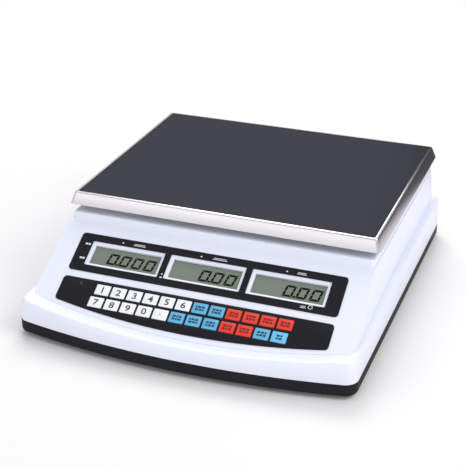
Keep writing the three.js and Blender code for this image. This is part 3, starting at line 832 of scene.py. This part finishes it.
# %% Step
STEP = {
    "half_width": 170.6,
    "front": -85.0,
    "back": 198.0,
    "corner": 6.0,
    "foot": 83.0,
    "top": 97.5,
    "draft": 1.5,
}
POST_OPENING = {"x": 46.0, "y": 58.0, "side": 40.0}

lid = max(plane_faces(housing, 80, (0, 0, 1)), key=lambda face: face.calc_area())
opening = ((-160, -75), (160, 188))
cuts = [(axis, corner[axis]) for corner in opening for axis in (0, 1)]
lid_faces = slice_faces(housing, [lid], cuts, Matrix.Identity(4))
bmesh.ops.delete(housing, geom=faces_within(lid_faces, Matrix.Identity(4), *opening), context="FACES")

step = bmesh.new()
depth, middle_y = STEP["back"] - STEP["front"], (STEP["back"] + STEP["front"]) / 2
face = rounded_plate(step, 2 * STEP["half_width"], depth, STEP["corner"])
walls = STEP["top"] - STEP["foot"]
for thickness, up in ((STEP["draft"], walls - 2), (0.3, 0.9), (0.6, 0.7), (0.9, 0.4)):
    bmesh.ops.inset_region(
        step, faces=[face], thickness=thickness, depth=up, use_even_offset=True, use_boundary=True
    )
bmesh.ops.translate(step, vec=(0, middle_y, STEP["foot"]), verts=step.verts)
centre = Matrix.Translation((POST_OPENING["x"], POST_OPENING["y"], 0))
half_side = POST_OPENING["side"] / 2
cuts = [(axis, sign * half_side) for axis in (0, 1) for sign in (-1, 1)]
top_faces = slice_faces(step, [face], cuts, centre)
hole = faces_within(top_faces, centre, (-half_side, -half_side), (half_side, half_side))
bmesh.ops.delete(step, geom=hole, context="FACES")
step_mesh = bpy.data.meshes.new("step")
step.to_mesh(step_mesh)
step.free()
housing.from_mesh(step_mesh)

make_piece(
    "housing_moulding",
    settle(housing, Matrix.Identity(4)),
    [white_abs],
    "base",
    ["top_housing"],
    edge_mm=0.35,
    wall_mm=3.0,
)
print("housing finished")

# %% [markdown]
# The housing's four screws go up into hollow posts, one near each corner, that end in the moulding above
# them. A post is a low circle, inset to a band, with its middle taken out and the band extruded upwards.

# %% Screw posts
SCREW_POSTS = ((-158, -118, 67.4), (158, -118, 67.4), (-158, 130, 95), (158, 130, 95))  # x, y and top
POST_RADIUS, SCREW_HOLE_RADIUS = 5.0, 2.2
bm = bmesh.new()
for x, y, top_height in SCREW_POSTS:
    add_tube(bm, x, y, SKIRT_FOOT, top_height, POST_RADIUS, SCREW_HOLE_RADIUS)
make_piece(
    "housing_screw_posts", settle(bm, Matrix.Identity(4)), [white_abs], "base", edge_mm=0.2
)
print("screw posts:", len(SCREW_POSTS))

# %% [markdown]
# ## Keys
# Twenty-four plastic keys stand in two rows, just proud of the film. Each is a block with small radii, on
# its own body, so that each one can be pressed. Their legends are printed: digits on the white keys, and on
# the coloured keys two rows of plain bars that stand for printing and say nothing.

# %% Keys
KEY_SIZE = (15.8, 12.0, 3.6)
KEY_TOP = KEY_SIZE[2] / 2
LEGEND_HEIGHT = 7.3
BAR_LENGTHS = (3.4, 1.9, 2.9)
BAR_HEIGHT, BAR_GAP, BAR_ROW = 2.3, 0.7, 1.6
UPPER_KEYS = "1 2 3 4 5 6 blue blue red red red red".split()
LOWER_KEYS = "7 8 9 0 . blue blue blue red red blue pale".split()
COLOURED = {"blue": (blue_key, blue_ink), "pale": (pale_blue_key, blue_ink), "red": (red_key, red_ink)}


def add_plain_print(bm, bars, kind):
    """Two rows of plain printed bars of mixed lengths, centred on the key."""
    lengths = [BAR_LENGTHS[(step + kind) % 3] for step in range(bars)]
    for row, widths in ((BAR_ROW, lengths), (-BAR_ROW, lengths[::-1])):
        x = -(sum(widths) + BAR_GAP * (bars - 1)) / 2
        for width in widths:
            add_bar(bm, x + width / 2, row, KEY_TOP, width, BAR_HEIGHT, index=1)
            x += width + BAR_GAP


def make_key(node, face, order):
    """One key with its legend, in the place of the plain solid."""
    bm = rounded_block(*KEY_SIZE, corner=0.55, edge=0.3)
    plastic, ink = COLOURED.get(face, (white_key, dark_ink))
    if face == ".":
        add_dot(bm, 0, 0, KEY_TOP, 0.75, index=1)
    elif face not in COLOURED:
        add_digits(bm, face, 0, 0, KEY_TOP, LEGEND_HEIGHT, index=1)
    else:
        add_plain_print(bm, 2 if face == "pale" else 3, order)
    settle(bm, Matrix.Translation(middle(node)) @ Matrix.Rotation(PANEL_TILT, 4, "X"))
    make_piece(f"{node}_cap", bm, [plastic, ink], body_holding(node), [node])


for row, faces in (("upper", UPPER_KEYS), ("lower", LOWER_KEYS)):
    for order, face in enumerate(faces, start=1):
        make_key(f"key_{row}_{order}", face, order)
print("keys:", len(UPPER_KEYS) + len(LOWER_KEYS))

# %% [markdown]
# ## Displays
# The three displays show zeros. Each digit is the outer ring of a seven-segment figure: six bars that meet
# in mitred corners, with a small gap between them, leaning a little to the right. A bar is a thin cube, and
# moving its outer edge out and its inner edge in at an end gives it the mitre.

# %% Display digits
DIGIT = {"width": 10.8, "height": 13.7, "pitch": 14.2, "stroke": 2.4, "gap": 0.5, "lean": 0.19}
DIGIT_MIDDLE = 73.5
# For each display: where its last digit stands, how many digits it has, and how many follow the point.
READINGS = {"weight": (-62.8, 4, 3), "unit_price": (28.0, 3, 2), "total": (120.0, 3, 2)}


def add_segment(bm, x, y, length, outward, mitred, across=False):
    """A segment of a digit, upright or across: outward is its outer side, mitred its mitred ends."""
    size = Matrix.Diagonal((DIGIT["stroke"], length, 2 * INK, 1))
    verts = bmesh.ops.create_cube(bm, size=1.0, matrix=size)["verts"]
    for vert in verts:
        end = math.copysign(1, vert.co.y)
        if end in mitred:
            vert.co.y += end * outward * vert.co.x
    turn = Matrix.Rotation(math.radians(90), 4, "Z") if across else Matrix.Identity(4)
    bmesh.ops.transform(bm, matrix=Matrix.Translation((x, y, GLASS_TOP)) @ turn, verts=verts)


def add_zero(bm, x):
    """The six outer segments of a digit, centred at x."""
    half_width = (DIGIT["width"] - DIGIT["stroke"]) / 2
    half_height = (DIGIT["height"] - DIGIT["stroke"]) / 2
    for side in (-1, 1):
        add_segment(bm, x, side * half_height, 2 * half_width - DIGIT["gap"], side, (-1, 1), across=True)
        for end in (-1, 1):
            length = half_height - DIGIT["gap"]
            add_segment(bm, x + side * half_width, end * half_height / 2, length, side, (end,))


for name, (last, count, decimals) in READINGS.items():
    bm = bmesh.new()
    for place in range(count):
        add_zero(bm, last - DIGIT["pitch"] * place)
    point = last - DIGIT["pitch"] * (decimals - 0.5)
    add_bar(bm, point, (DIGIT["stroke"] - DIGIT["height"]) / 2, GLASS_TOP, DIGIT["stroke"], DIGIT["stroke"])
    lean = Matrix.Identity(4)
    lean[0][1] = DIGIT["lean"]
    bmesh.ops.transform(bm, matrix=Matrix.Translation((0, DIGIT_MIDDLE, 0)) @ lean, verts=bm.verts)
    make_piece(f"{name}_digits", settle(bm, on_panel()), [segment_black], "base")
print("displays:", ", ".join(READINGS))

# %% [markdown]
# ## Printing on the display film, and the lamp
# Small white marks stand by the displays. They say nothing: dots, bars and one ring. A small lamp sits
# under the keypad film's left end, unlit, so it is only a dull red spot.

# %% Marks on the film
bm = bmesh.new()
for u, v in ((-99.6, 93), (-9.6, 93), (84.4, 93), (-44.4, 64)):
    add_dot(bm, u, v, FILM_TOP, 0.9)
for u, v, width in ((-80.3, 93, 14), (11.2, 93, 16), (100.3, 93, 10), (111.7, 55.6, 6)):
    add_bar(bm, u, v - 0.8, FILM_TOP, width, 0.7)
    add_bar(bm, u, v + 0.8, FILM_TOP, width * 0.86, 0.7)
for v in (66.6, 84.6):
    add_bar(bm, -139.5, v, FILM_TOP, 2.6, 2.2)
    add_bar(bm, -136.2, v, FILM_TOP, 2.6, 2.2)
add_bar(bm, -44.4, 60, FILM_TOP, 2.4, 1.6)
add_tube(bm, 119, 56.6, FILM_TOP - INK, FILM_TOP + INK, 2.4, 1.8)
make_piece("display_film_marks", settle(bm, on_panel()), [white_ink], "base")

bm = bmesh.new()
bmesh.ops.create_uvsphere(bm, u_segments=24, v_segments=12, radius=1.6)
bmesh.ops.delete(bm, geom=[vert for vert in bm.verts if vert.co.z < -0.01], context="VERTS")
bmesh.ops.holes_fill(bm, edges=[edge for edge in bm.edges if edge.is_boundary])
bmesh.ops.scale(bm, vec=(1, 1, 0.35), verts=bm.verts)
make_piece("unlit_lamp", settle(bm, on_panel(-126.4, 36, FILM_TOP)), [lamp_red], "base")
print("marks printed")

# %% [markdown]
# ## Platter
# The platter is one pressed sheet of stainless steel, 1.5 mm thick: a flat top, a small bend all round, and
# a flange that leans outwards as it goes down. Two outlines, one for the foot of the flange and one for the
# bend, are joined by a bridge, three narrow insets round the edge over, and Solidify gives the sheet its
# thickness.

# %% Platter
low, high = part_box("platter")
SHEET, FLARE, BEND = 1.5, 4.4, 1.2
foot_width, foot_depth = [(high[axis] - low[axis]) / MM for axis in (0, 1)]
rise = (high.z - low.z) / MM
bm = bmesh.new()
foot_face = rounded_plate(bm, foot_width, foot_depth, 5.0)
bend_face = rounded_plate(bm, foot_width - 2 * FLARE + 0.2, foot_depth - 2 * FLARE + 0.2, 3.6, rise - BEND)
rims = list(foot_face.edges) + list(bend_face.edges)
bmesh.ops.delete(bm, geom=[foot_face], context="FACES_ONLY")
bmesh.ops.bridge_loops(bm, edges=rims)
bmesh.ops.recalc_face_normals(bm, faces=bm.faces)
top = max(bm.faces, key=lambda face: face.calc_center_median().z)
for inward, upward in ((0.16, 0.46), (0.34, 0.4), (0.5, 0.34)):
    bmesh.ops.inset_region(
        bm, faces=[top], thickness=inward * BEND, depth=upward * BEND, use_even_offset=True
    )
settle(bm, Matrix.Translation(((low.x + high.x) / 2, (low.y + high.y) / 2, low.z)))
make_piece(
    "platter_sheet",
    bm,
    [brushed_steel],
    "platter",
    ["platter"],
    smooth_angle=50,
    edge_mm=0.25,
    wall_mm=SHEET,
)
print("platter:", round(foot_width, 1), "by", round(foot_depth, 1), "mm at its foot")

# %% [markdown]
# ## Power inlet
# The inlet is a black socket with three bare metal pins. The engineering model has them in one piece, so
# the pins' side faces are found by their place and get the metal.

# %% Power inlet
PINS = [(113.0, 32.0), (127.0, 32.0), (120.0, 37.0)]
PIN_REACH = (1.2, 2.2)
bm = merged_copy("power_inlet")
for face in bm.faces:
    x, _, z = face.calc_center_median() / MM
    on_pin = any(abs(x - px) < PIN_REACH[0] and abs(z - pz) < PIN_REACH[1] for px, pz in PINS)
    if on_pin and abs(face.normal.y) < 0.5:
        face.material_index = 1
make_piece(
    "power_inlet_finished",
    bm,
    [black_abs, zinc_plate],
    "base",
    ["power_inlet"],
    edge_mm=0.25,
)
print("inlet finished")

# %% [markdown]
# ## The remaining parts
# The other parts have their shape in the engineering model. Each is copied, its loose triangles are joined,
# its edges get the small radius that its real process leaves, and it gets the finish that its slot names.

# %% Remaining parts
FINISH = {
    "white_abs": white_abs,
    "black_abs": black_abs,
    "black_film": black_film,
    "stainless_steel": brushed_steel,
    # the dark sheet's finish is the painted reflection of the steel top
    "dark_sheet": dark_sheet,
    "aluminium": cast_aluminium,
    "rubber": black_rubber,
    "zinc_steel": zinc_plate,
    "circuit_board": board_green,
    "lcd_glass": display_glass,
    "battery_case": battery_case,
}
EDGE = {
    "black_abs": 0.6,
    "black_film": 0.12,
    "dark_sheet": 0.12,
    "circuit_board": 0.15,
    "white_abs": 0.5,
    "battery_case": 1.5,
}
OTHER_EDGE = 0.3
made = {"platter", "power_inlet", "top_housing"}
refined = 0
for part in frame["record"]["subparts"]:
    node, slot = part["node"], part["material_slot"]
    if slot in FINISH and node not in made:
        refine(node, FINISH[slot], EDGE.get(slot, OTHER_EDGE), join_flats=node != "keypad_overlay")
        refined += 1
print("refined:", refined)
